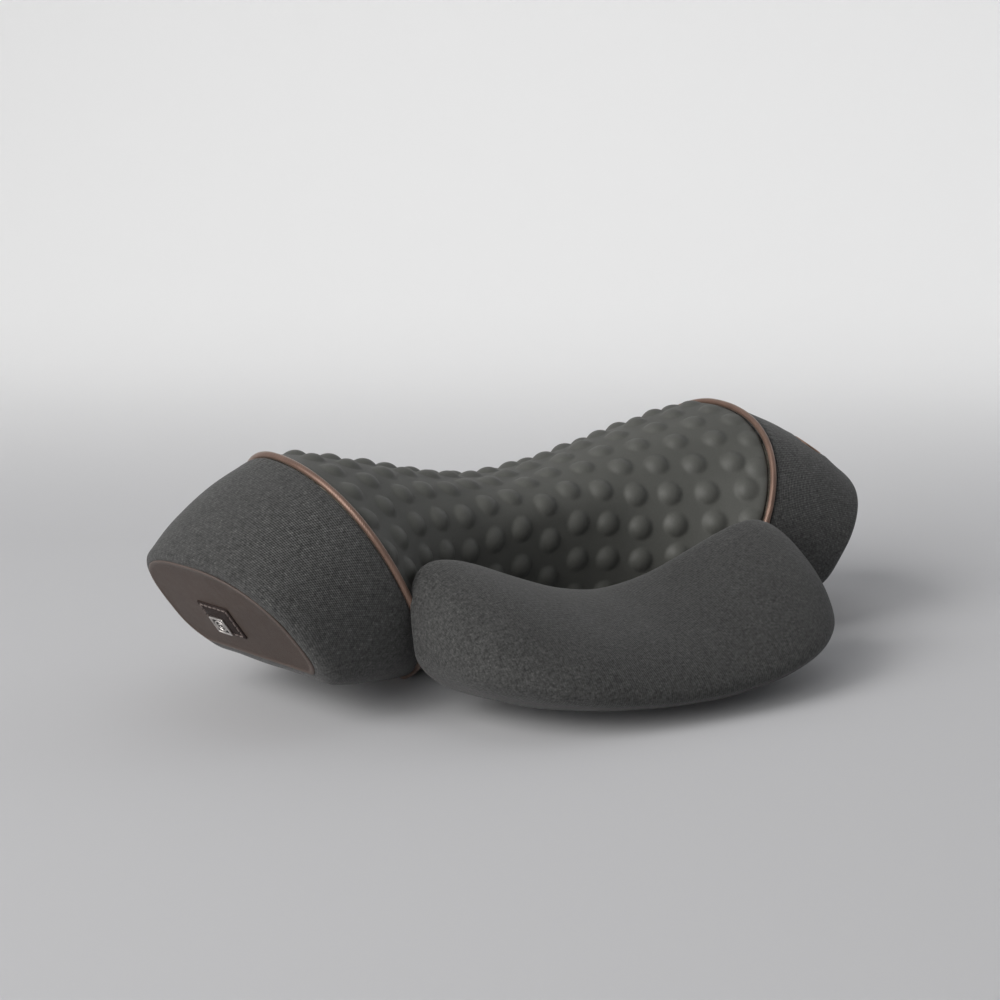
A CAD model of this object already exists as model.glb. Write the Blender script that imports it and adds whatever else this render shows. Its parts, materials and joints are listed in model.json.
"""Massage cushion: a lying bolster with a studded skin in the middle, knit sleeves, copper piping and
leather end panels, and a soft pillow along its front.

It lies along X on the floor at z = 0, front towards -Y and left towards -X. Shapes are worked out in
millimetres; shader distances, the floor, the lights and the scene are in metres.
"""
import json
import math
from functools import cached_property, lru_cache
import bpy
import numpy as np
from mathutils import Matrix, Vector


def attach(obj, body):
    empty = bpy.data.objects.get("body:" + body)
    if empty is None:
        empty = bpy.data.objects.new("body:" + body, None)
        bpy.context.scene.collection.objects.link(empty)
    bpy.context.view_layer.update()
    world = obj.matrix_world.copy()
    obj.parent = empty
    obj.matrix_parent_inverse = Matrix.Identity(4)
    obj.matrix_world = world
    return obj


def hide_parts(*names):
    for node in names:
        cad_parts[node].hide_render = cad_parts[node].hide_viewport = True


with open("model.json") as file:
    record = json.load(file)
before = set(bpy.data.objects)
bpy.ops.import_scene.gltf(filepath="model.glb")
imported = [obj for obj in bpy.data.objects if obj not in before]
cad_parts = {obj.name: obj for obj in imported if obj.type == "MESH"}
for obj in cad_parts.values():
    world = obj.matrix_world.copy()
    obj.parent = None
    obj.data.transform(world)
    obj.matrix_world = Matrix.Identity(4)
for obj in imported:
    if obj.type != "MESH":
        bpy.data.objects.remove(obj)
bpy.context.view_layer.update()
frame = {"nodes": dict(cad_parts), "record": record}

MILLI = 0.001  # metres in a millimetre

# ------------------------------------------------------------------ shape of the bolster
RING_X, END_X = 118.5, 192.4  # the piped seam and the end, from the middle
SLEEVE_LENGTH = END_X - RING_X
RING_LEAN, END_LEAN = 0.49, 0.73  # outward shift per mm of height above LEAN_Z
LEAN_Z = 70
END_TURN = 0.13  # outward shift per mm towards the back
END_ROUND = 6.0  # radius of the rim round the end
UNDERCUT = 5.0  # extra depth of the lower half, cut flat at the underside

# Cross-sections: centre y, centre z, depth to the front, depth to the back, height above the centre,
# underside z
SIZE_MIDDLE = np.array([13.7, 69.8, 38, 48, 19.1, 3.0])
SIZE_RING = np.array([4.2, 55.6, 73.1, 64, 61.2, 3.0])
SIZE_END = np.array([-19.6, 41.7, 54.8, 53.3, 37.9, 20.9])
SLEEVE_SWELL = (0, 0, 0.7, 0.7, 1, 0)  # share of the bulge halfway along the sleeve

# Superellipse powers: upper front, upper back, lower front, lower back
POWER_MIDDLE = np.array([2.23, 1.9, 2.48, 2.3])
POWER_RING = np.array([2.23, 1.9, 1.9, 2.3])
POWER_END = np.array([2.4, 3.0, 3.35, 2.55])

SEAM_GAP = 1.9  # from the piping's centre line to the cloth on either side
SEAM_IN = 1 - SEAM_GAP / RING_X  # station where the massage skin stops
SEAM_OUT = 1 + SEAM_GAP / SLEEVE_LENGTH  # station where a sleeve starts
HEM_INSET = 3.6
LOWEST = 3.02  # no cover reaches below this height
PANEL_INSET = END_ROUND * 0.80
RING_ANGLES = -90.0 + np.linspace(0, 360, 1441)[:-1]  # a section, starting at the bottom


def clip01(value):
    return np.clip(value, 0, 1)


def blend(start, end, share):
    return start + (end - start) * share


def signed_power(value, power):
    return np.sign(value) * np.abs(value) ** power


def ease(away, bias):
    return away * away * (1 + bias * (1 - away))


def shell(station, angle, inset=0.0, push=0.0):
    """Points of the bolster. station: 0 middle, 1 seam, 2 end, negative to the left; angle in
    degrees: 0 front, 90 top, 180 back; push moves points outwards along X."""
    station, angle, inset, push = np.broadcast_arrays(
        *[np.asarray(value, float) for value in (station, angle, inset, push)])
    away = np.abs(station)
    inner, past = away <= 1, away - 1
    tall, deep = ease(away, 1.25), ease(away, -0.6)
    bulge = 8 * past * (1 - past)
    size = [
        np.where(inner, blend(SIZE_MIDDLE[i], SIZE_RING[i], share),
                 blend(SIZE_RING[i], SIZE_END[i], past) + SLEEVE_SWELL[i] * bulge)
        for i, share in enumerate((deep, tall, deep, deep, tall, tall))
    ]
    power = [
        np.where(inner, blend(POWER_MIDDLE[i], POWER_RING[i], away * away),
                 blend(POWER_RING[i], POWER_END[i], past))
        for i in range(4)
    ]
    reach = np.where(inner, away * RING_X, blend(RING_X, END_X, past))
    lean = np.where(inner, away * RING_LEAN, blend(RING_LEAN, END_LEAN, past))
    turn = np.where(inner, 0.0, past * END_TURN)
    cos, sin = np.cos(np.radians(angle)), np.sin(np.radians(angle))
    front, upper = cos >= 0, sin >= 0
    bend = np.where(upper, np.where(front, power[0], power[1]), np.where(front, power[2], power[3]))
    depth = np.where(front, size[2], size[3]) - inset
    height = np.where(upper, size[4], size[1] - size[5] + UNDERCUT) - inset
    y = size[0] - depth * signed_power(cos, 2 / bend)
    z = np.maximum(size[1] + height * signed_power(sin, 2 / bend), size[5] + inset)
    x = reach + push + lean * (z - LEAN_Z) + turn * (y - size[0])
    return np.stack([np.where(station < 0, -1, 1) * x, y, z], -1)


def resample(points, count):
    """A closed row of points spaced evenly along its length, and that length."""
    closed = np.concatenate([points, points[:1]])
    run = np.concatenate([[0], np.cumsum(np.linalg.norm(np.diff(closed, axis=0), axis=1))])
    even = np.linspace(0, run[-1], count + 1)[:-1]
    return np.stack([np.interp(even, run, closed[:, i]) for i in range(3)], -1), run[-1]


def shell_ring(station, inset, push, count):
    return resample(shell(station, RING_ANGLES, inset, push), count)


def outward_normals(points, centre):
    """Unit normals of a grid whose rows are closed rings."""
    along = np.gradient(points, axis=0)
    around = (np.roll(points, -1, 1) - np.roll(points, 1, 1)) / 2
    normals = np.cross(along, around)
    normals = normals / np.maximum(np.linalg.norm(normals, axis=-1, keepdims=True), 1e-9)
    return -normals if (normals * (points - centre)).sum() < 0 else normals


def smooth_noise(points, scale, seed):
    """Smooth noise in about -1..1 from two octaves of sines, for small unevenness."""
    random = np.random.default_rng(seed)
    out = np.zeros(points.shape[:-1])
    amount, total = 1.0, 0.0
    for _ in range(2):
        for _ in range(7):
            wave = random.normal(size=3)
            wave *= (2 * math.pi / scale) * (0.6 + 0.8 * random.random()) / np.linalg.norm(wave)
            out += amount * np.sin(points @ wave + random.random() * 6.28)
        total += amount * 2.6
        amount *= 0.5
        scale *= 0.5
    return out / total


# ------------------------------------------------------------------ mesh helpers
def link_object(name, data):
    piece = bpy.data.objects.new(name, data)
    bpy.context.scene.collection.objects.link(piece)
    return piece


def new_object(name, verts, faces, uvs=None, attrs=None):
    """Smooth mesh object. verts and per-vertex uvs in mm; faces an (n, 4) array or a list."""
    mesh = bpy.data.meshes.new(name)
    verts = np.asarray(verts, float) * MILLI
    if isinstance(faces, np.ndarray):
        count, corners = faces.shape
        mesh.vertices.add(len(verts))
        mesh.vertices.foreach_set("co", verts.astype(np.float32).ravel())
        mesh.loops.add(count * corners)
        mesh.loops.foreach_set("vertex_index", faces.astype(np.int32).ravel())
        mesh.polygons.add(count)
        starts = np.arange(0, count * corners, corners, dtype=np.int32)
        mesh.polygons.foreach_set("loop_start", starts)
    else:
        mesh.from_pydata([tuple(vert) for vert in verts], [], faces)
    mesh.update(calc_edges=True)
    mesh.validate()
    if uvs is not None:
        layer = mesh.uv_layers.new(name="UVMap")
        index = np.zeros(len(mesh.loops), np.int32)
        mesh.loops.foreach_get("vertex_index", index)
        corner_uvs = np.asarray(uvs, float)[index] * MILLI
        layer.data.foreach_set("uv", corner_uvs.astype(np.float32).ravel())
    for key, values in (attrs or {}).items():
        attribute = mesh.attributes.new(key, "FLOAT", "POINT")
        attribute.data.foreach_set("value", np.asarray(values, np.float32).ravel())
    mesh.polygons.foreach_set("use_smooth", np.ones(len(mesh.polygons), bool))
    return link_object(name, mesh)


def band_faces(first, second, count):
    """Quads between two closed rings, given the index of each ring's first vertex."""
    here = np.arange(count)
    after = (here + 1) % count
    return np.stack([first + here, first + after, second + after, second + here], -1)


def grid_faces(rows, count):
    return np.concatenate([band_faces(i * count, (i + 1) * count, count) for i in range(rows - 1)])


def face_normals(verts, faces):
    """First corner and normal of each face."""
    first, second, third = (np.array([verts[face[i]] for face in faces]) for i in range(3))
    return first, np.cross(second - first, third - first)


def fix_winding(verts, faces, centre):
    """Turn all faces over if they look towards the centre, one point or one per face."""
    corner, normal = face_normals(verts, faces)
    if (normal * (corner - centre)).sum() < 0:
        return faces[:, ::-1].copy()
    return faces


def arc_uv(points):
    """UVs in mm by mean length along both ways of a grid; the seam sits where the rings close."""
    runs = [
        np.concatenate([[0], np.cumsum(
            np.linalg.norm(np.diff(points, axis=axis), axis=-1).mean(1 - axis))])
        for axis in (0, 1)
    ]
    return flat_uv(*runs)


def flat_uv(along, around):
    return np.stack(np.broadcast_arrays(along[:, None], around[None, :]), -1).reshape(-1, 2)


def side_name(side):
    return "left" if side < 0 else "right"


# ------------------------------------------------------------------ material helpers
MATERIALS = {}


class Material:
    """A Principled material, filed in MATERIALS, with short calls that add shader nodes."""

    def __init__(self, name, colour, rough, metal=0.0, specular=0.5, sheen=0.0, sheen_tint=None):
        self.data = bpy.data.materials.new(name)
        self.data.use_nodes = True
        self.tree = self.data.node_tree
        MATERIALS[name] = self.data
        self.set("Base Color", colour)
        self.set("Roughness", rough)
        self.set("Metallic", metal)
        self.set("Specular IOR Level", specular)
        if sheen:
            self.set("Sheen Weight", sheen)
            self.set("Sheen Roughness", 0.5)
            if sheen_tint:
                self.set("Sheen Tint", sheen_tint)

    def put(self, socket, value):
        if isinstance(value, bpy.types.NodeSocket):
            self.tree.links.new(value, socket)
        else:
            socket.default_value = (*value, 1) if socket.type == "RGBA" else value

    def set(self, key, value):
        """Fill an input of the Principled shader."""
        self.put(self.tree.nodes["Principled BSDF"].inputs[key], value)

    def node(self, kind, inputs=None, output=0, **settings):
        node = self.tree.nodes.new("ShaderNode" + kind)
        for key, value in settings.items():
            setattr(node, key, value)
        for key, value in (inputs or {}).items():
            self.put(node.inputs[key], value)
        return node.outputs[output]

    @cached_property
    def place(self):
        return self.node("TexCoord", output="Object")

    def uv(self):
        return self.node("TexCoord", output="UV")

    def split(self, vector):
        return self.node("SeparateXYZ", {0: vector}).node.outputs

    def attribute(self, name):
        return self.node("Attribute", output="Fac", attribute_name=name)

    def math(self, operation, first, second=0.0):
        return self.node("Math", {0: first, 1: second}, operation=operation)

    def scaled(self, value, by):
        return self.math("MULTIPLY", value, by)

    def linear(self, value, gain, offset, clamp=False):
        inputs = {0: value, 1: gain, 2: offset}
        return self.node("Math", inputs, operation="MULTIPLY_ADD", use_clamp=clamp)

    def ramp(self, factor, stops, interpolation="LINEAR"):
        """stops = (position, colour or grey level)."""
        output = self.node("ValToRGB", {0: factor})
        ramp = output.node.color_ramp
        ramp.interpolation = interpolation
        while len(ramp.elements) < len(stops):
            ramp.elements.new(0.5)
        for element, (position, colour) in zip(ramp.elements, stops):
            element.position = position
            element.color = (*(colour if isinstance(colour, tuple) else (colour,) * 3), 1)
        return output

    def noise(self, scale, detail=2.0, rough=0.5, vector=None):
        inputs = {"Vector": self.place if vector is None else vector,
                  "Scale": scale, "Detail": detail, "Roughness": rough}
        return self.node("TexNoise", inputs, "Fac")

    def cells(self, size, feature="F1", output="Distance"):
        inputs = {"Vector": self.place, "Scale": 1 / size}
        return self.node("TexVoronoi", inputs, output, feature=feature)

    def mix(self, factor, first, second, kind="MIX"):
        inputs = {0: factor, 6: first, 7: second}
        return self.node("Mix", inputs, 2, data_type="RGBA", blend_type=kind)

    def times(self, first, second):
        return self.mix(1.0, first, second, "MULTIPLY")

    def mottled(self, colour, stops, **noise):
        """The colour multiplied by greys picked by noise."""
        return self.times(colour, self.ramp(self.noise(**noise), stops))

    def bump(self, height, depth, strength, normal=None):
        inputs = {"Strength": strength, "Distance": depth, "Height": height}
        if normal is not None:
            inputs["Normal"] = normal
        return self.node("Bump", inputs)

    def vary_rough(self, gain, offset, **noise):
        self.set("Roughness", self.linear(self.noise(**noise), gain, offset))


def tinted(colour, gain):
    return tuple(min(1, value * gain) for value in colour)


def drift(colour, low, high):
    """Ramp stops round a colour."""
    return [(0.3, tinted(colour, low)), (0.7, tinted(colour, high))]


# ------------------------------------------------------------------ materials
def knit(name, dark, mid, light, relief, melange, grain, tight_at=None, nap=None):
    """Heathered fine-gauge knit: ribs running round the cushion crossed by finer courses.
    tight_at = point, mirrored left and right, where the ribs stand out;
    nap = (direction x, direction y, start, length, stops), a slow drift of tone along the piece."""
    mat = Material(name, mid, rough=0.92, specular=0.2, sheen=0.18, sheen_tint=(0.75, 0.75, 0.75))
    along, around = mat.split(mat.uv())[:2]
    wobble = mat.scaled(mat.math("SUBTRACT", mat.noise(scale=110), 0.5), by=0.0008)
    waves = 2 * math.pi / 0.00122  # one rib every 1.22 mm
    along = mat.math("ADD", along, wobble)
    around = mat.math("ADD", around, wobble)
    skewed = mat.math("ADD", along, mat.scaled(around, by=0.12))
    ribs = mat.math("SINE", mat.scaled(skewed, by=waves))
    skewed = mat.math("SUBTRACT", around, mat.scaled(along, by=0.35))
    courses = mat.math("SINE", mat.scaled(skewed, by=waves * 0.9))
    stitch = mat.linear(courses, gain=0.17, offset=mat.linear(ribs, gain=0.32, offset=0.5))
    yarn = mat.split(mat.cells(0.00085, "SMOOTH_F1", "Color"))[0]
    colour = mat.ramp(yarn, [(0.05, dark), (0.36, mid), (0.64, mid), (0.95, light)])
    colour = mat.mottled(colour, [(0.32, 1 - melange), (0.68, 1 + melange)],
                         scale=grain, detail=3, rough=0.65)
    colour = mat.mottled(colour, [(0.3, 0.95), (0.7, 1.05)], scale=34, detail=3)
    # the rib stands out more in some places than others
    strong = mat.linear(mat.noise(scale=22), gain=1.5, offset=-0.15, clamp=True)
    gain = 1.0
    if tight_at:
        x, y, z = mat.split(mat.place)
        offsets = [mat.math("SUBTRACT", value, centre)
                   for value, centre in zip((mat.math("ABSOLUTE", x), y, z), tight_at)]
        squares = [mat.math("MULTIPLY", value, value) for value in offsets]
        total = mat.math("ADD", mat.math("ADD", squares[0], squares[1]), squares[2])
        away = mat.math("SQRT", total)
        near = mat.linear(away, gain=-1 / 0.034, offset=1.55, clamp=True)
        strong = mat.math("MAXIMUM", near, mat.scaled(strong, by=0.32))
        gain = 1.13
    shade = mat.ramp(stitch, [(0.02, gain * (1 - 0.42 * relief)), (0.98, gain * (1 + 0.40 * relief))])
    colour = mat.mix(strong, colour, mat.times(colour, shade))
    if nap:
        nap_x, nap_y, start, length, stops = nap
        x, y = mat.split(mat.place)[:2]
        run = mat.math("ADD", mat.scaled(x, by=nap_x), mat.scaled(y, by=nap_y))
        run = mat.linear(run, gain=1 / length, offset=-start / length, clamp=True)
        colour = mat.times(colour, mat.ramp(run, stops, "EASE"))
    mat.set("Base Color", colour)
    height = mat.math("ADD", mat.scaled(stitch, by=0.6), mat.scaled(mat.noise(scale=1500), by=0.30))
    normal = mat.bump(height, depth=0.00026, strength=0.7)
    fuzz = mat.noise(scale=420, detail=3, rough=0.55)
    mat.set("Normal", mat.bump(fuzz, depth=0.00035, strength=0.35, normal=normal))
    mat.vary_rough(gain=0.12, offset=0.84, scale=300)


def massage_rubber(name):
    """Matte skin, satin and paler on the crests of the bumps, with a fine moulding texture."""
    mat = Material(name, (0.067, 0.068, 0.062), rough=0.62, specular=0.42)
    crest = mat.attribute("crest")
    stops = [(0.3, (0.073, 0.074, 0.067)), (0.7, (0.090, 0.091, 0.0825))]
    colour = mat.ramp(mat.noise(scale=26, detail=3), stops)
    colour = mat.mix(mat.scaled(crest, by=0.35), colour, (0.103, 0.104, 0.094))
    colour = mat.mottled(colour, [(0.35, 0.94), (0.7, 1.06)], scale=1500)
    mat.set("Base Color", colour)
    rough = mat.linear(mat.noise(scale=60, detail=3), gain=0.10, offset=0.56)
    mat.set("Roughness", mat.math("SUBTRACT", rough, mat.scaled(crest, by=0.07)))
    fine = mat.scaled(mat.noise(scale=2600, detail=3, rough=0.6), by=0.6)
    height = mat.math("ADD", fine, mat.scaled(mat.noise(scale=420), by=0.4))
    mat.set("Normal", mat.bump(height, depth=0.00012, strength=0.55))


def satin_cord(name):
    """Copper-coloured cord of fine lengthwise threads with a slow twist."""
    mat = Material(name, (0.22, 0.14, 0.11), rough=0.40, metal=0.45,
                   sheen=0.12, sheen_tint=(0.95, 0.80, 0.70))
    along, around = mat.split(mat.uv())[:2]
    slanted = mat.math("ADD", mat.scaled(along, by=0.55), around)
    twist = mat.math("SINE", mat.scaled(slanted, by=2 * math.pi / 0.00085))
    colour = mat.ramp(mat.linear(twist, gain=0.5, offset=0.5),
                      [(0.0, (0.170, 0.104, 0.078)), (1.0, (0.236, 0.150, 0.115))])
    colour = mat.mottled(colour, [(0.3, 0.88), (0.7, 1.10)], scale=120, detail=3)
    mat.set("Base Color", colour)
    mat.vary_rough(gain=0.14, offset=0.24, scale=900)
    mat.set("Normal", mat.bump(twist, depth=0.00010, strength=0.35))


def leather(name, dark, mid, rough=0.5, specular=0.45, worn=True):
    """Smooth leather with irregular pores and slow colour drift; worn = a lighter rubbed edge."""
    mat = Material(name, mid, rough, specular=specular)
    colour = mat.ramp(mat.noise(scale=30, detail=4), [(0.28, dark), (0.62, mid)])
    colour = mat.mottled(colour, [(0.3, 0.93), (0.7, 1.07)], scale=1300)
    if worn:
        rubbed = tuple(value * gain for value, gain in zip(mid, (2.4, 2.9, 3.4)))
        colour = mat.mix(mat.scaled(mat.attribute("edge"), by=0.60), colour, rubbed)
    mat.set("Base Color", colour)
    cell = mat.cells(0.00085, "DISTANCE_TO_EDGE")
    pores = mat.scaled(mat.math("MINIMUM", mat.scaled(cell, by=6.0), 1.0), by=0.8)
    height = mat.math("ADD", pores, mat.scaled(mat.noise(scale=260, detail=3), by=0.5))
    mat.set("Normal", mat.bump(height, depth=0.00013, strength=0.6))
    mat.vary_rough(gain=0.14, offset=rough - 0.07, scale=200)


def metal(name, colour, rough, brushed=False):
    mat = Material(name, colour, rough, metal=1.0)
    vector = mat.place
    if brushed:
        vector = mat.node("Mapping", {"Vector": vector, "Scale": (1, 1, 14)})
    grain = mat.noise(scale=500, detail=3, vector=vector)
    mat.set("Roughness", mat.linear(grain, gain=0.16, offset=rough - 0.06))
    stops = drift(colour, low=0.92, high=1.05)
    mat.set("Base Color", mat.ramp(mat.noise(scale=80, detail=3), stops))
    mat.set("Normal", mat.bump(grain, depth=0.00004, strength=0.4))


def plastic(name, colour, rough, grain=1400, depth=0.00006):
    mat = Material(name, colour, rough)
    stops = drift(colour, low=0.9, high=1.08)
    mat.set("Base Color", mat.ramp(mat.noise(scale=50, detail=3), stops))
    mat.vary_rough(gain=0.14, offset=rough - 0.07, scale=300)
    mat.set("Normal", mat.bump(mat.noise(scale=grain), depth, strength=0.6))


def thread(name, colour):
    mat = Material(name, colour, rough=0.6, specular=0.4, sheen=0.3)
    wave = mat.node("TexWave", {"Vector": mat.place, "Scale": 900, "Distortion": 1.0}, "Fac",
                    wave_type="BANDS", bands_direction="DIAGONAL")
    stops = [(0.1, tinted(colour, gain=0.65)), (0.9, tinted(colour, gain=1.2))]
    mat.set("Base Color", mat.ramp(wave, stops))
    mat.set("Normal", mat.bump(wave, depth=0.00008, strength=0.7))


def foam(name, colour):
    mat = Material(name, colour, rough=0.95, specular=0.2)
    cell = mat.cells(1 / 900)
    mat.set("Base Color", mat.ramp(cell, [(0.1, tinted(colour, gain=0.7)), (0.6, colour)]))
    mat.set("Normal", mat.bump(cell, depth=0.0004, strength=0.8))


def trim_ring(name, colour, centre, axis, dark_radius):
    """Metal ring, dark inside the given radius round its axis."""
    mat = Material(name, colour, rough=0.36, metal=1.0)
    middle = tuple(float(value) * MILLI for value in centre)
    arm = mat.node("VectorMath", {0: mat.place, 1: middle}, operation="SUBTRACT")
    axis = tuple(float(value) for value in axis)
    across = mat.node("VectorMath", {0: arm, 1: axis}, operation="CROSS_PRODUCT")
    radius = mat.node("VectorMath", {0: across}, "Value", operation="LENGTH")
    beyond = mat.math("SUBTRACT", radius, dark_radius * MILLI)
    outside = mat.linear(beyond, gain=6000, offset=0.5, clamp=True)
    shine = mat.ramp(mat.noise(scale=80, detail=3), drift(colour, low=0.92, high=1.05))
    mat.set("Base Color", mat.mix(outside, (0.012, 0.012, 0.012), shine))
    mat.set("Metallic", outside)
    mat.vary_rough(gain=0.16, offset=0.30, scale=500, detail=3)


def fitting(station, angle, tuck_radius, hole_radius, depth):
    """A round fitting in the right sleeve: centre, outward axis, and how the knit tucks in."""
    centre = shell(station, angle)
    normal = np.cross(shell(station + 0.01, angle) - centre, shell(station, angle + 1) - centre)
    return centre, normal / np.linalg.norm(normal), tuck_radius, hole_radius, depth


FITTINGS = (
    fitting(1.63, 73, tuck_radius=9.3, hole_radius=7.2, depth=15.0),
    fitting(1.5, 176, tuck_radius=7.7, hole_radius=5.6, depth=12.0),
)

knit("knit_charcoal", dark=(0.0400, 0.0400, 0.0393), mid=(0.0560, 0.0560, 0.0550),
     light=(0.0850, 0.0850, 0.0815), relief=2.0, melange=0.40, grain=640,
     tight_at=(0.158, -0.060, 0.080))
knit("knit_pillow", dark=(0.0335, 0.0335, 0.0330), mid=(0.0456, 0.0456, 0.0446),
     light=(0.0632, 0.0632, 0.0609), relief=0.35, melange=0.42, grain=680,
     nap=(0.9949, -0.1011, -0.1036, 0.224, [(0.10, 1.15), (0.44, 0.88), (0.62, 0.89), (0.86, 1.0)]))
massage_rubber("skin_tpe")
satin_cord("piping_copper")
leather("panel_leather", dark=(0.0447, 0.0288, 0.0216), mid=(0.0563, 0.0364, 0.0275))
leather("patch_leather", dark=(0.0150, 0.0085, 0.0072), mid=(0.0220, 0.0135, 0.0118),
        rough=0.62, specular=0.22, worn=False)
metal("badge_metal", (0.60, 0.57, 0.55), rough=0.42, brushed=True)
plastic("badge_dark", (0.006, 0.0055, 0.0055), rough=0.6)
thread("stitch_thread", (0.135, 0.100, 0.088))
foam("foam", (0.72, 0.69, 0.58))
plastic("heating_foil", (0.55, 0.28, 0.07), rough=0.35, grain=300, depth=0.0002)
plastic("housing_plastic", (0.030, 0.031, 0.033), rough=0.48)
plastic("gearbox_plastic", (0.52, 0.52, 0.48), rough=0.5)
metal("screw_steel", (0.58, 0.58, 0.60), rough=0.3)
metal("motor_steel", (0.60, 0.60, 0.62), rough=0.32, brushed=True)
plastic("black_plastic", (0.016, 0.016, 0.017), rough=0.36)
plastic("magnet_ferrite", (0.06, 0.06, 0.065), rough=0.7, grain=700, depth=0.0001)
metal("bush_bronze", (0.58, 0.40, 0.20), rough=0.4)
plastic("battery_wrap", (0.03, 0.12, 0.28), rough=0.3)
plastic("board_green", (0.015, 0.11, 0.05), rough=0.3)
plastic("cable_jacket", (0.05, 0.03, 0.03), rough=0.55)
plastic("grip_rubber", (0.018, 0.018, 0.019), rough=0.8, grain=500, depth=0.0003)
thread("zip_tape", (0.035, 0.035, 0.038))
metal("shaft_steel", (0.66, 0.66, 0.68), rough=0.2)
plastic("gear_acetal", (0.74, 0.72, 0.64), rough=0.35)
plastic("arm_plastic", (0.62, 0.62, 0.60), rough=0.4)
plastic("node_silicone", (0.28, 0.07, 0.05), rough=0.55)
metal("armature_copper", (0.55, 0.28, 0.14), rough=0.4)
trim_ring("copper_trim", (0.30, 0.19, 0.145), *FITTINGS[0][:2], dark_radius=7.35)

slots = {part["node"]: part["material_slot"] for part in frame["record"]["subparts"]}
for name, piece in frame["nodes"].items():
    piece.data.materials.clear()
    piece.data.materials.append(MATERIALS[slots[name]])


def dress(piece, material, body, slot, *nodes):
    """Give a new piece its material, the body it rides on, its slot and the parts it replaces."""
    piece.data.materials.append(MATERIALS[material])
    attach(piece, body)
    if nodes:
        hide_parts(*nodes)


# ------------------------------------------------------------------ massage skin with its bumps
COLUMN_PITCH, COLUMN_SHIFT = 18.05, 4.5
BUMP_PITCH = 17.4
BUMP_GAP = 12.3  # least distance between centres
BUMP_RADIUS, BUMP_HEIGHT = 6.35, 2.75
BUMP_REACH = 9
BUMP_SOFT = 0.42  # rounding where a bump meets the skin
# how far each column of bumps is shifted round the skin, as a share of the spacing, left to right
PHASE = (-0.20, 0.10, 0.40, 0.0, -0.25, 0.30, 0.0, 0.40, 0.12, 0.45, 0.0, 0.45, -0.02, 0.48, 0.0)
LAST_STATION = 0.953


@lru_cache(maxsize=None)
def section_run(station):
    """A section's points and their distance round it from the top, negative towards the front."""
    angles = np.linspace(-85, 265, 701)
    points = shell(station, angles)
    run = np.concatenate([[0], np.cumsum(np.linalg.norm(np.diff(points, axis=0), axis=1))])
    return points, run - np.interp(90, angles, run)


def point_at(station, distance):
    points, run = section_run(round(station, 3))
    if distance < run[0] or distance > run[-1]:
        return None
    return np.array([np.interp(distance, run, points[:, i]) for i in range(3)])


def bump_centres():
    """Nearly staggered columns of bumps. Where the skin narrows the outer columns are pushed in by
    the seam, and bumps with no room are left out."""
    centres = []
    for column in sorted(range(-7, 8), key=abs):
        column_x = COLUMN_SHIFT + COLUMN_PITCH * column
        wanted = abs(column_x)
        for j in range(-9, 10):
            step = j + PHASE[column + 7]
            distance = 7 - math.copysign(BUMP_PITCH * abs(step) + 0.35 * step * step, step)
            station = min(wanted / RING_X * 0.92, LAST_STATION)
            # the lean moves points along X, so the station is found by steps
            for _ in range(10):
                point = point_at(station, distance)
                if point is None:
                    break
                nudge = (wanted - point[0]) / 125.0 * 0.9
                station = float(np.clip(station + nudge, 0, LAST_STATION))
            if point is None or point[2] < 9.5 or abs(wanted - point[0]) > 16:
                continue
            centre = np.array([math.copysign(point[0], column_x), point[1], point[2]])
            if all(np.linalg.norm(centre - other) > BUMP_GAP for other in centres):
                centres.append(centre)
    return centres


def bump_heights(points):
    """Height of the bumps at each grid point: spherical caps with a softened foot."""
    flat = points.reshape(-1, 3)
    away = np.full(len(flat), 1e9)
    for centre in bump_centres():
        near = np.abs(flat - centre).max(1) < BUMP_REACH
        away[near] = np.minimum(away[near], np.linalg.norm(flat[near] - centre, axis=1))
    away = away.reshape(points.shape[:2])
    ball = (BUMP_RADIUS**2 + BUMP_HEIGHT**2) / (2 * BUMP_HEIGHT)
    cap = np.sqrt(np.maximum(ball**2 - np.minimum(away, ball) ** 2, 0)) - (ball - BUMP_HEIGHT)
    soft = BUMP_SOFT * np.log1p(np.exp(np.clip(cap / BUMP_SOFT, -30, 30)))
    return np.where(away < BUMP_REACH, soft, 0) * clip01((BUMP_REACH - away) / 2.0)


def seam_roll(distance, depth, width):
    """How far a cover rolls down into the seam groove."""
    return -depth * (1 - np.sqrt(clip01(1 - clip01(1 - distance / width) ** 2)))


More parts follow.
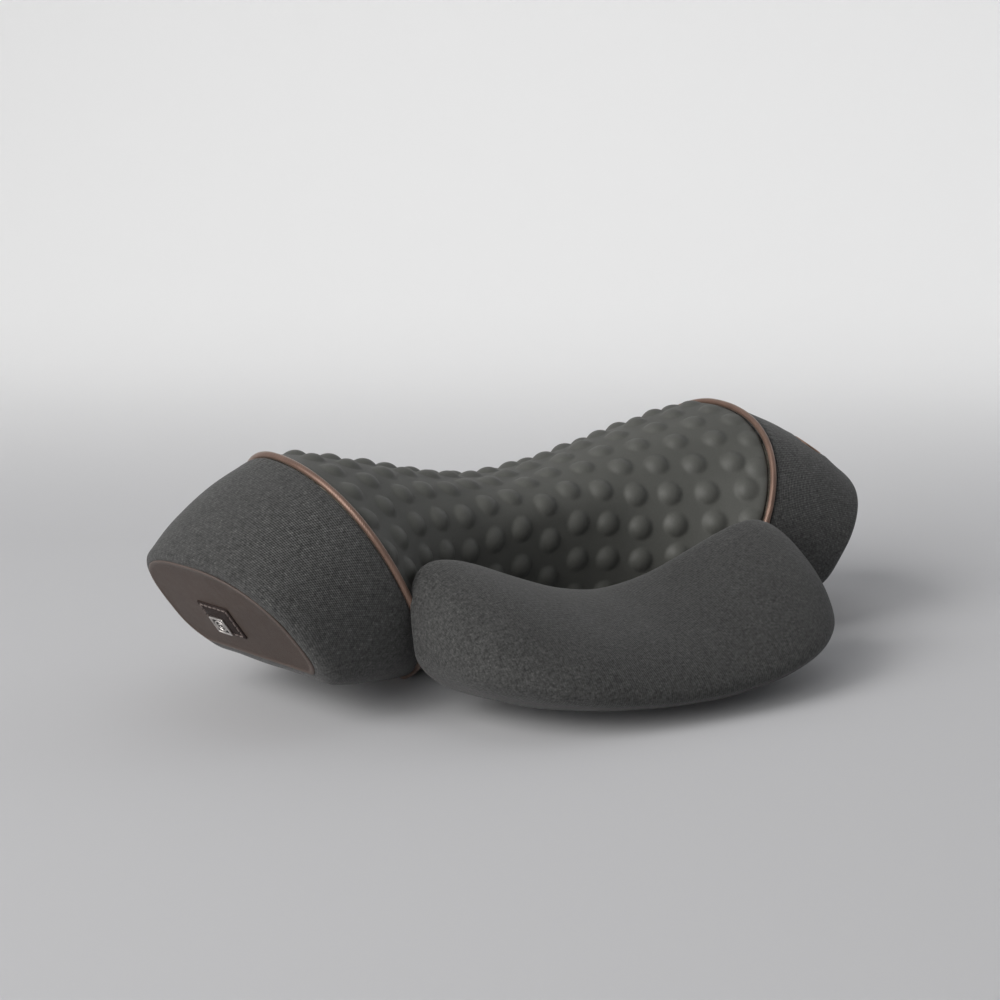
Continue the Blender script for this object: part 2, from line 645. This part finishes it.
def build_skin():
    rows, count = ((300, 500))
    edge = 3.2 / RING_X
    flat_end = SEAM_IN - edge
    lip = flat_end + edge * np.linspace(0, 1, 8)[1:]
    stations = np.concatenate([-lip[::-1], np.linspace(-flat_end, flat_end, rows), lip])
    points = np.stack([shell_ring(station, 0, 0, count)[0] for station in stations])
    centre = np.array([0, 12.0, 45.0])
    normals = outward_normals(points, centre)
    distance = (SEAM_IN - np.abs(stations)) * RING_X
    lift = 0.5 * clip01(distance / 14.0) ** 0.6 + seam_roll(distance, depth=1.5, width=2.8)
    lift = lift[:, None]
    off_floor = clip01((points[..., 2] - 3.0) / 9.0)
    bumps = bump_heights(points) * (0.5 + 0.5 * clip01(distance / 9.0))[:, None]
    uneven = 0.25 * smooth_noise(points, 60, 3) * clip01(distance / 20)[:, None] * off_floor
    raised = lift * np.where(lift > 0, off_floor, 1.0) + bumps + uneven
    points = points + normals * raised[..., None]
    points[..., 2] = np.maximum(points[..., 2], LOWEST)
    # close with a turned-in hem at both ends
    hems = [shell_ring(stations[i], HEM_INSET, 0, count)[0] for i in (0, -1)]
    verts = np.concatenate([points.reshape(-1, 3), *hems])
    base = len(stations) * count
    last = base - count
    faces = np.concatenate([
        grid_faces(len(stations), count),
        band_faces(base, 0, count),
        band_faces(last, base + count, count),
    ])
    uvs = arc_uv(points)
    uvs = np.concatenate([uvs, uvs[:count], uvs[last:]])
    crest = np.concatenate([clip01(bumps / BUMP_HEIGHT).reshape(-1), np.zeros(2 * count)])
    faces = fix_winding(verts, faces, centre)
    skin = new_object("massage_skin_visual", verts, faces, uvs, {"crest": crest})
    dress(skin, "skin_tpe", "main", "skin_tpe", "massage_skin")


# ------------------------------------------------------------------ knit end sleeves
def axis_distance(points, centre, axis):
    """Distance from a fitting's axis; far away for points not near its face."""
    arm = points - centre
    height = arm @ axis
    radius = np.linalg.norm(arm - height[..., None] * axis, axis=-1)
    return np.where(np.abs(height) < 20, radius, 1e3)


def sleeve_stations():
    """(station, inset, push) from the seam, over the rounded rim and in behind the end panel."""
    edge = 2.6 / SLEEVE_LENGTH
    rows = [(SEAM_OUT + edge * share, 0, 0) for share in np.linspace(0, 1, 7)[:-1]]
    body = np.linspace(SEAM_OUT + edge, 2, 86)
    rows += [(station, 0, 0) for station in body]
    rows += [(2, END_ROUND * (1 - math.cos(angle)), END_ROUND * math.sin(angle))
             for angle in np.radians(np.linspace(8, 78, 10))]
    return rows + [(2, PANEL_INSET + 0.9, END_ROUND * 0.965), (2, PANEL_INSET + 2.2, PANEL_INSET)]


def build_sleeve(side):
    count = 480
    rows = sleeve_stations()
    points = np.stack([shell_ring(side * station, inset, push, count)[0]
                       for station, inset, push in rows])
    centre = np.array([side * 150.0, -5, 45.0])
    normals = outward_normals(points, centre)
    distance = np.array([max(0.0, (row[0] - SEAM_OUT) * SLEEVE_LENGTH) for row in rows])
    index = np.arange(len(rows))
    from_end = index[::-1]
    full = 0.55 * (1 - np.exp(-distance / 5.0)) * clip01((from_end - 2) / 6.0)
    full = full + 0.7 * clip01((distance - 45) / 25.0) * clip01((from_end - 3) / 6.0)
    lift = (full + seam_roll(distance, depth=1.6, width=2.6))[:, None]
    off_floor = clip01((points[..., 2] - 4.0) / 8.0)
    # the sewn edge pulls the knit into very shallow puckers next to the cord
    angles = np.linspace(0, 2 * np.pi, count, endpoint=False)
    near_seam = np.exp(-(((distance - 4) / 4.0) ** 2))[:, None]
    pucker = 0.10 * np.sin(angles * 84 + 0.5 * np.sin(angles * 7)) * near_seam
    soft = 0.35 * smooth_noise(points, 55, 5 + side) * clip01(distance / 12)[:, None]
    # flat under the fittings, slightly swollen round them
    fittings = FITTINGS if side > 0 else ()
    keep = np.ones(points.shape[:2])
    swell = np.zeros(points.shape[:2])
    for middle, axis, tuck_radius, _, _ in fittings:
        radius = axis_distance(points, middle, axis)
        keep *= clip01((radius - tuck_radius + 0.4) / 2.2)
        swell += 0.35 * np.exp(-(((radius - tuck_radius - 2.2) / 3.0) ** 2))
    raised = lift * off_floor * keep + swell + pucker + soft * off_floor * keep
    points = points + normals * raised[..., None]
    # the knit is pulled over the rim without a crease
    rim = len(rows) - 12
    ease_in = clip01((index - rim + 22) / 12.0)
    smoothing = 0.5 * (ease_in * clip01((len(rows) - 3.0 - index) / 5.0))
    for _ in range(18):
        relaxed = points.copy()
        relaxed[1:-1] = (points[:-2] + points[2:]) / 2
        points = points + (relaxed - points) * smoothing[:, None, None]
    points[..., 2] = np.maximum(points[..., 2], LOWEST)
    for middle, axis, tuck_radius, hole_radius, depth in fittings:
        radius = axis_distance(points, middle, axis)
        bends = [hole_radius, tuck_radius - 0.8, tuck_radius + 0.2]
        points = points + axis * np.interp(radius, bends, [-depth, -0.7, 0.0])[..., None]
    hem, _ = shell_ring(side * SEAM_OUT, HEM_INSET, 0, count)
    verts = np.concatenate([points.reshape(-1, 3), hem])
    faces = np.concatenate([grid_faces(len(rows), count), band_faces(len(rows) * count, 0, count)])
    uvs = arc_uv(points)
    uvs = np.concatenate([uvs, uvs[:count]])
    part = f"sleeve_{side_name(side)}"
    sleeve = new_object(part + "_visual", verts, fix_winding(verts, faces, centre), uvs)
    dress(sleeve, "knit_charcoal", "main", "knit_charcoal", part)


# ------------------------------------------------------------------ copper piping
PIPING_RADIUS = 1.75


def build_piping(side):
    count, sides = 360, 18
    ring, length = shell_ring(side * 1.0, 0.1, 0, count)
    tangent = np.roll(ring, -1, 0) - np.roll(ring, 1, 0)
    tangent /= np.linalg.norm(tangent, axis=1, keepdims=True)
    normal = np.array([side, 0, -RING_LEAN])
    normal = normal / np.linalg.norm(normal)
    across = np.cross(tangent, normal)[:, None]
    turn = np.linspace(0, 2 * np.pi, sides, endpoint=False)[None, :, None]
    radius = PIPING_RADIUS * (1 + 0.015 * np.sin(np.arange(count) * 2 * np.pi * 9 / count))
    points = ring[:, None, :] + radius[:, None, None] * (np.cos(turn) * normal + np.sin(turn) * across)
    points[..., 2] = np.maximum(points[..., 2], 1.2)
    i, j = np.meshgrid(np.arange(count), np.arange(sides), indexing="ij")
    here, ahead = i * sides, (i + 1) % count * sides
    beside = (j + 1) % sides
    faces = np.stack([here + j, ahead + j, ahead + beside, here + beside], -1).reshape(-1, 4)
    around = np.abs(np.arange(sides) - sides / 2) * (2 * np.pi * PIPING_RADIUS / sides)
    uvs = flat_uv(np.arange(count) * length / count, around)
    verts = points.reshape(-1, 3)
    faces = fix_winding(verts, faces, np.repeat(ring, sides, 0)[faces[:, 0]])
    part = f"piping_{side_name(side)}"
    piping = new_object(part + "_visual", verts, faces, uvs)
    dress(piping, "piping_copper", "main", "piping_copper", part)


# ------------------------------------------------------------------ end panels
# Edge bead, shallow step, gently domed face: inset from the outline, height, wear of the leather
PANEL_PROFILE = [
    (0.9, -0.18 * END_ROUND, 0), (0.15, -0.3, 0.4), (0.0, 0.35, 1), (0.12, 0.80, 1), (0.5, 1.12, 1),
    (1.0, 1.18, 0.9), (1.5, 1.05, 0.6), (1.85, 0.86, 0.2), (2.3, 0.80, 0.05), (4, 0.84, 0),
    (7, 0.92, 0), (10, 0.99, 0), (13, 1.04, 0), (16, 1.08, 0),
]
PANEL_SHRINK = (0.8, 0.6, 0.4, 0.2, 0.05)  # inner rings, as shares of the last profile ring


def build_panel(side):
    count = 260
    rings = [shell_ring(side * 2, PANEL_INSET + inset, END_ROUND + height, count)[0]
             for inset, height, _ in PANEL_PROFILE]
    last = rings[-1]
    centre = last.mean(0)
    rings += [centre + (last - centre) * share for share in PANEL_SHRINK]
    verts = np.concatenate([*rings, (centre + np.array([side * 0.04, 0, 0]))[None]])
    tip = len(verts) - 1
    base = tip - count
    faces = grid_faces(len(rings), count).tolist()
    faces += [[base + j, base + (j + 1) % count, tip] for j in range(count)]
    _, normals = face_normals(verts, faces)
    if (normals * np.array([side, 0.1, 0.7])).sum() < 0:
        faces = [face[::-1] for face in faces]
    wear = [row[2] for row in PANEL_PROFILE] + [0] * len(PANEL_SHRINK)
    edge = np.concatenate([np.repeat(np.array(wear, float), count), [0]])
    part = f"end_panel_{side_name(side)}"
    panel = new_object(part + "_visual", verts, faces, verts[:, 1:], {"edge": edge})
    dress(panel, "panel_leather", "main", "panel_leather", part)


# ------------------------------------------------------------------ solids built flat on the patch
def rounded_plate(width, height, radius, profile, steps):
    """Outline rings of a rounded rectangle; profile = (inset, height) of each ring."""
    rings = []
    for inset, z in profile:
        ring = []
        corner = max(radius - inset, 0.05)
        reach_x, reach_y = width / 2 - inset - corner, height / 2 - inset - corner
        for sign_x, sign_y, start in ((1, 1, 0), (-1, 1, 90), (-1, -1, 180), (1, -1, 270)):
            for k in range(steps + 1):
                angle = math.radians(start + 90 * k / steps)
                ring.append((sign_x * reach_x + corner * math.cos(angle),
                             sign_y * reach_y + corner * math.sin(angle), z))
        rings.append(ring)
    return rings


def loft(rings, bottom=True, top=True):
    """Vertices and faces of a solid lofted through rings of equal count."""
    rows, count = len(rings), len(rings[0])
    faces = grid_faces(rows, count).tolist()
    caps = [tuple((rows - 1) * count + j for j in range(count))] if top else []
    if bottom:
        caps.append(tuple(reversed(range(count))))
    return [point for ring in rings for point in ring], faces + caps


def capsule(start, end, radius, rings):
    """Eight-sided round-ended rod."""
    count = 8
    start, end = np.array(start, float), np.array(end, float)
    axis = end - start
    length = np.linalg.norm(axis)
    axis = axis / length
    helper = np.array([0, 0, 1.0]) if abs(axis[2]) < 0.9 else np.array([1.0, 0, 0])
    across = np.cross(axis, helper)
    across /= np.linalg.norm(across)
    other = np.cross(axis, across)
    profile = [(-radius * math.cos(angle), radius * math.sin(angle))
               for angle in np.radians(np.linspace(8, 90, rings))]
    profile += [(length + radius * math.sin(angle), radius * math.cos(angle))
                for angle in np.radians(np.linspace(0, 82, rings))]
    turns = [2 * math.pi * k / count for k in range(count)]
    verts, faces = loft([
        [start + axis * z + size * (math.cos(turn) * across + math.sin(turn) * other)
         for turn in turns] for z, size in profile
    ])
    # the start cap comes before the end cap
    faces[-2:] = faces[:-3:-1]
    return verts, faces


def round_ring(profile):
    """Open ring of revolution; profile = (radius, height)."""
    turns = [2 * math.pi * k / 40 for k in range(40)]
    return loft([[(radius * math.cos(turn), radius * math.sin(turn), z) for turn in turns]
                 for radius, z in profile], bottom=False, top=False)


def merge(parts):
    verts, faces = [], []
    for part_verts, part_faces in parts:
        base = len(verts)
        verts += [tuple(point) for point in part_verts]
        faces += [tuple(i + base for i in face) for face in part_faces]
    return verts, faces


def orient_outward(piece):
    import bmesh

    work = bmesh.new()
    work.from_mesh(piece.data)
    bmesh.ops.recalc_face_normals(work, faces=work.faces)
    work.to_mesh(piece.data)
    work.free()


# ------------------------------------------------------------------ patch and badge, left end panel
PATCH_Y, PATCH_Z = -15.1, 45.4
PATCH_WIDTH, PATCH_HEIGHT = 24.0, 20.8
PATCH_LIFT = 0.95  # from the panel's plane to the patch's underside
# (inset, height): rounded edge, sewn groove, flat face
PATCH_PROFILE = [(0, 0), (0, 0.35), (0.15, 0.62), (0.45, 0.80), (0.9, 0.86), (1.7, 0.50),
                 (2.5, 0.92), (3.4, 1.08), (5, 1.16), (8, 1.2)]
STITCH_INSET = 1.7
STITCH_PITCH, STITCH_LENGTH, STITCH_RADIUS = 3.1, 1.85, 0.46
BADGE_SIZE = 10.8

# the patch's directions: out of the left panel, up its face, and towards the front
PATCH_OUT = -np.array([1, END_TURN, END_LEAN])
PATCH_OUT = PATCH_OUT / np.linalg.norm(PATCH_OUT)
PATCH_UP = np.array([0, 0, 1.0]) - PATCH_OUT * PATCH_OUT[2]
PATCH_UP /= np.linalg.norm(PATCH_UP)
PATCH_FRONT = np.cross(PATCH_UP, PATCH_OUT)
PATCH_X = -(END_X + END_ROUND + PATCH_LIFT + END_LEAN * (PATCH_Z - LEAN_Z)
            + END_TURN * (PATCH_Y - SIZE_END[0]))
PATCH_ORIGIN = np.array([PATCH_X, PATCH_Y, PATCH_Z])
BADGE_ORIGIN = PATCH_ORIGIN + PATCH_FRONT * -2.5 + PATCH_UP * -3.6 + PATCH_OUT * 1.12


def add_on_patch(name, solid, origin, material, slot, *nodes, with_uv=False):
    """Place a flat-built solid on the patch's directions and dress it."""
    verts, faces = solid
    verts = np.array(verts, float)
    verts = (origin + verts[:, :1] * PATCH_FRONT + verts[:, 1:2] * PATCH_UP
             + verts[:, 2:3] * PATCH_OUT)
    piece = new_object(name, verts, faces, verts[:, 1:] if with_uv else None)
    orient_outward(piece)
    dress(piece, material, "main", slot, *nodes)


def build_patch():
    plate = loft(rounded_plate(PATCH_WIDTH, PATCH_HEIGHT, 1.4, PATCH_PROFILE, steps=6))
    add_on_patch("panel_patch_visual", plate, PATCH_ORIGIN, "patch_leather", "patch_leather",
                 "panel_patch", with_uv=True)
    reach_x, reach_y = PATCH_WIDTH / 2 - STITCH_INSET, PATCH_HEIGHT / 2 - STITCH_INSET
    corners = [(-reach_x, reach_y), (reach_x, reach_y), (reach_x, -reach_y), (-reach_x, -reach_y)]
    stitches = []
    for (x, y), (next_x, next_y) in zip(corners, corners[1:] + corners[:1]):
        length = math.hypot(next_x - x, next_y - y)
        step_x, step_y = (next_x - x) / length, (next_y - y) / length
        count = int(length // STITCH_PITCH)
        for k in range(count):
            middle = (k + 0.5) * length / count
            start, end = middle - STITCH_LENGTH / 2, middle + STITCH_LENGTH / 2
            stitches.append(capsule(
                (x + step_x * start, y + step_y * start, 0.72),
                (x + step_x * end, y + step_y * end, 0.76), STITCH_RADIUS, rings=4))
    add_on_patch("panel_patch_stitching", merge(stitches), PATCH_ORIGIN,
                 "stitch_thread", "patch_leather", with_uv=True)


def build_badge():
    """Square metal frame, dark field, and an emblem of a ring with two short arcs inside."""
    def plate(inset, radius, profile):
        size = BADGE_SIZE - inset
        return rounded_plate(size, size, radius, profile, steps=4)

    outer = plate(0, 0.7, [(0, 0), (0, 0.75), (0.15, 1.0), (0.34, 1.08)])
    inner = plate(1.5, 0.4, [(0, 1.08), (0.12, 0.98), (0.16, 0.35)])
    add_on_patch("panel_badge_frame", loft(outer + inner, top=False), BADGE_ORIGIN,
                 "badge_metal", "badge_metal", "panel_badge")
    add_on_patch("panel_badge_field", loft(plate(1.3, 0.3, [(0, 0.2), (0, 0.42)])), BADGE_ORIGIN,
                 "badge_dark", "badge_metal")
    parts = [round_ring([(3.55, 0.3), (3.55, 0.80), (3.45, 0.90),
                         (2.92, 0.90), (2.82, 0.80), (2.82, 0.3)])]
    for start in (45, 225):
        angles = math.radians(start) + np.linspace(0, math.radians(115), 7)
        arc = [(1.35 * math.cos(angle), 1.35 * math.sin(angle), 0.52) for angle in angles]
        parts += [capsule(here, ahead, 0.34, rings=3) for here, ahead in zip(arc[:-1], arc[1:])]
    add_on_patch("panel_badge_emblem", merge(parts), BADGE_ORIGIN, "badge_metal", "badge_metal")


# ------------------------------------------------------------------ front pillow
PILLOW_X, PILLOW_Y = -1.0, -92.6
PILLOW_HALF = 112.3
PILLOW_YAW = math.radians(-5.8)
YAW_COS, YAW_SIN = math.cos(PILLOW_YAW), math.sin(PILLOW_YAW)
# Driving sizes at the middle and at the ends
PILLOW_FRONT, PILLOW_BACK = (72.9, 66.2), (35.7, -1)
PILLOW_CENTRE_Z, PILLOW_TOP_Z = (15.2, 32.3), (46.1, 104.5)
PILLOW_END_POWER = 3.47


def pillow(along, angle):
    """Points of the pillow; along runs -1..1 from left to right, angle as in shell()."""
    along, angle = np.broadcast_arrays(*[np.asarray(value, float) for value in (along, angle)])
    taper = np.maximum(0, 1 - np.abs(along) ** PILLOW_END_POWER) ** (1 / PILLOW_END_POWER)
    thin = taper**1.43
    share = np.abs(along) ** 1.95
    cos, sin = np.cos(np.radians(angle)), np.sin(np.radians(angle))
    front, upper = cos >= 0, sin >= 0
    power = np.where(upper, np.where(front, 1.7, 2.0), 1.71)
    depth = np.where(front, blend(*PILLOW_FRONT, share), blend(*PILLOW_BACK, share)) * taper
    centre_z = blend(*PILLOW_CENTRE_Z, share)
    above = (blend(*PILLOW_TOP_Z, share) - centre_z) * thin
    height = np.where(upper, above, (centre_z - 11.15 * share + 0.1) * thin)
    back = -np.maximum(depth, 0) * signed_power(cos, 2 / power)
    z = np.maximum(centre_z + np.maximum(height, 0) * signed_power(sin, 2 / power), 0.02)
    x = PILLOW_HALF * along + 0.12 * along * back
    y = 2.12 * along * along + back + 0.44 * (z - centre_z)
    return np.stack([PILLOW_X + x * YAW_COS - y * YAW_SIN,
                     PILLOW_Y + x * YAW_SIN + y * YAW_COS, z], -1)


def build_pillow():
    rows, count = ((220, 320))
    sweep = np.linspace(-math.pi / 2, math.pi / 2, 4 * rows)[1:-1]
    dense = np.stack([resample(pillow(math.sin(angle), RING_ANGLES), count)[0] for angle in sweep])
    # even rows along the mean length
    steps = np.linalg.norm(np.diff(dense, axis=0), axis=-1).mean(1)
    run = np.concatenate([[0], np.cumsum(steps)])
    even = np.linspace(0, run[-1], rows)
    points = np.stack([
        np.stack([np.interp(even, run, dense[:, k, i]) for i in range(3)], -1)
        for k in range(count)
    ], 1)
    # the left end is stuffed a little fuller
    local_x = (points[..., 0] - PILLOW_X) * YAW_COS + (points[..., 1] - PILLOW_Y) * YAW_SIN
    left = clip01((-local_x - 60) / 46.0)
    stuffing = 2.3 * left * left * (3 - 2 * left)
    points = points - stuffing[..., None] * np.array([YAW_COS, YAW_SIN, 0])
    # soft filling rounds the ends and the edge between top and back
    for _ in range(int(26 * (rows / 220) ** 2)):
        relaxed = points.copy()
        relaxed[1:-1] = (points[:-2] + points[2:]) / 2
        points = points + (relaxed - points) * 0.5
        beside = (np.roll(points, 1, 1) + np.roll(points, -1, 1)) / 2
        points = points + (beside - points) * 0.5
    centre = points.reshape(-1, 3).mean(0)
    normals = outward_normals(points, centre)
    off_floor = clip01((points[..., 2] - 1.0) / 6.0)
    uneven = (0.45 + 0.5 * smooth_noise(points, 70, 21)) * off_floor
    points = points + normals * uneven[..., None]
    points[..., 2] = np.maximum(points[..., 2], 0.05)
    verts = np.concatenate([points.reshape(-1, 3), points[0].mean(0)[None], points[-1].mean(0)[None]])
    grid = grid_faces(rows, count)
    turned = fix_winding(verts, grid, centre)
    order = -1 if (turned[0] != grid[0]).any() else 1
    left_tip, right_tip = len(verts) - 2, len(verts) - 1
    last = (rows - 1) * count
    faces = turned.tolist()
    for j in range(count):
        after = (j + 1) % count
        faces.append([left_tip, after, j][::order])
        faces.append([right_tip, last + j, last + after][::order])
    uvs = arc_uv(points)
    uvs = np.concatenate([uvs, uvs[:1], uvs[-1:]])
    cushion = new_object("front_pillow", verts, faces, uvs)
    dress(cushion, "knit_pillow", "pillow", "knit_pillow", "pillow_cover", "pillow_core")


build_skin()
for side in (-1, 1):
    build_sleeve(side)
    build_piping(side)
    build_panel(side)
build_patch()
build_badge()
build_pillow()

# ------------------------------------------------------------------ floor, light, camera (metres)
scene = bpy.context.scene
AZIMUTH = math.radians(35.68)  # camera direction, left of straight in front
ELEVATION = math.radians(11.74)
CAMERA_DISTANCE = 1122.2  # mm
CAMERA_TARGET = (-9.4, 0, 79.6)  # mm
LENS, SENSOR = 77.4324, 36  # mm
WORLD_LIGHT, WORLD_SEEN = 0.195, 0.62  # strength as light, and as the camera sees it
WALL_GLOW = 0.150
FLOOR_HALF, FLOOR_DEPTH, SWEEP_RADIUS, WALL_TOP = 9.0, 0.85, 0.6, 4.5

# name, location, size, power, colour, spread in degrees
LIGHTS = [
    ("key_low", (-2.55, -1.02, 1.02), (1.87, 1.87), 10.8, (1.0, 0.99, 0.975), 80),
    ("key_left", (-2.55, 0.17, 1.87), (2.04, 2.04), 12.6, (1.0, 0.99, 0.975), 80),
    ("top_soft", (0.1, 0.1, 1.9), (1.5, 1.2), 1.9, (0.98, 0.99, 1.0), 180),
    ("right_fill", (1.5, -0.2, 0.9), (1.2, 1.2), 1.8, (0.96, 0.98, 1.0), 180),
]


def floor_paint(cos, sin):
    """Pale grey, brighter and faintly glowing towards the backdrop and far from the cushion."""
    mat = Material("floor_paint", (0.50, 0.50, 0.51), rough=0.85, specular=0.2)
    x, y = mat.split(mat.place)[:2]
    depth = mat.math("ADD", mat.scaled(x, by=sin), mat.scaled(y, by=cos))
    behind = mat.linear(depth, gain=1 / 0.85, offset=-0.25 / 0.85, clamp=True)
    squares = mat.math("ADD", mat.math("MULTIPLY", x, x), mat.math("MULTIPLY", y, y))
    far = mat.linear(mat.math("SQRT", squares), gain=1 / 2.2, offset=-1.2 / 2.2, clamp=True)
    tone = mat.math("MAXIMUM", behind, far)
    stops = [(0.0, (0.600, 0.600, 0.612)), (1.0, 0.83)]
    mat.set("Base Color", mat.ramp(tone, stops, "EASE"))
    mat.set("Emission Color", (1, 1, 1))
    mat.set("Emission Strength", mat.scaled(tone, by=WALL_GLOW))
    return mat.data


def build_floor():
    """Pale table that sweeps up into a brighter backdrop, square to the camera."""
    cos, sin = math.cos(AZIMUTH), math.sin(AZIMUTH)
    profile = [(-FLOOR_HALF, 0.0), (0.2, 0.0), (0.6, 0.0), (FLOOR_DEPTH, 0.0)]
    profile += [(FLOOR_DEPTH + SWEEP_RADIUS * math.sin(angle),
                 SWEEP_RADIUS - SWEEP_RADIUS * math.cos(angle))
                for angle in np.radians(np.linspace(6, 90, 15))]
    profile.append((FLOOR_DEPTH + SWEEP_RADIUS, WALL_TOP))
    verts = [(x * cos + y * sin, -x * sin + y * cos, z - 0.0002)
             for y, z in profile for x in (-FLOOR_HALF, FLOOR_HALF)]
    faces = [(2 * i, 2 * i + 1, 2 * i + 3, 2 * i + 2) for i in range(len(profile) - 1)]
    mesh = bpy.data.meshes.new("floor")
    mesh.from_pydata(verts, [], faces)
    mesh.polygons.foreach_set("use_smooth", np.ones(len(mesh.polygons), bool))
    floor = link_object("floor", mesh)
    mesh.materials.append(floor_paint(cos, sin))


def aim(thing, target):
    thing.rotation_euler = (target - thing.location).to_track_quat("-Z", "Y").to_euler()


def add_light(name, location, size, power, colour, spread):
    light = bpy.data.lights.new(name, "AREA")
    light.shape = "RECTANGLE"
    light.size, light.size_y = size
    light.energy = power
    light.color = colour
    light.spread = math.radians(spread)
    lamp = link_object(name, light)
    lamp.location = location
    aim(lamp, Vector((0, 0, 0.05)))


def build_world():
    world = bpy.data.worlds.new("studio")
    world.use_nodes = True
    tree = world.node_tree
    colour, strength = tree.nodes["Background"].inputs[:2]
    colour.default_value = (0.95, 0.965, 1.0, 1)
    strength.default_value = WORLD_LIGHT
    path = tree.nodes.new("ShaderNodeLightPath")
    seen = tree.nodes.new("ShaderNodeMapRange")
    seen.inputs["To Min"].default_value = WORLD_LIGHT
    seen.inputs["To Max"].default_value = WORLD_SEEN
    tree.links.new(path.outputs["Is Camera Ray"], seen.inputs["Value"])
    tree.links.new(seen.outputs["Result"], strength)
    scene.world = world


def build_camera():
    flat = math.cos(ELEVATION)
    away = Vector((-math.sin(AZIMUTH) * flat, -math.cos(AZIMUTH) * flat, math.sin(ELEVATION)))
    data = bpy.data.cameras.new("camera")
    data.sensor_width = SENSOR
    data.lens = LENS
    data.clip_start = 0.05
    camera = link_object("camera", data)
    target = Vector(CAMERA_TARGET) * MILLI
    camera.location = target + away * CAMERA_DISTANCE * MILLI
    aim(camera, target)
    scene.camera = camera


build_floor()
for light in LIGHTS:
    add_light(*light)
build_world()
build_camera()
scene.view_settings.view_transform = "Standard"
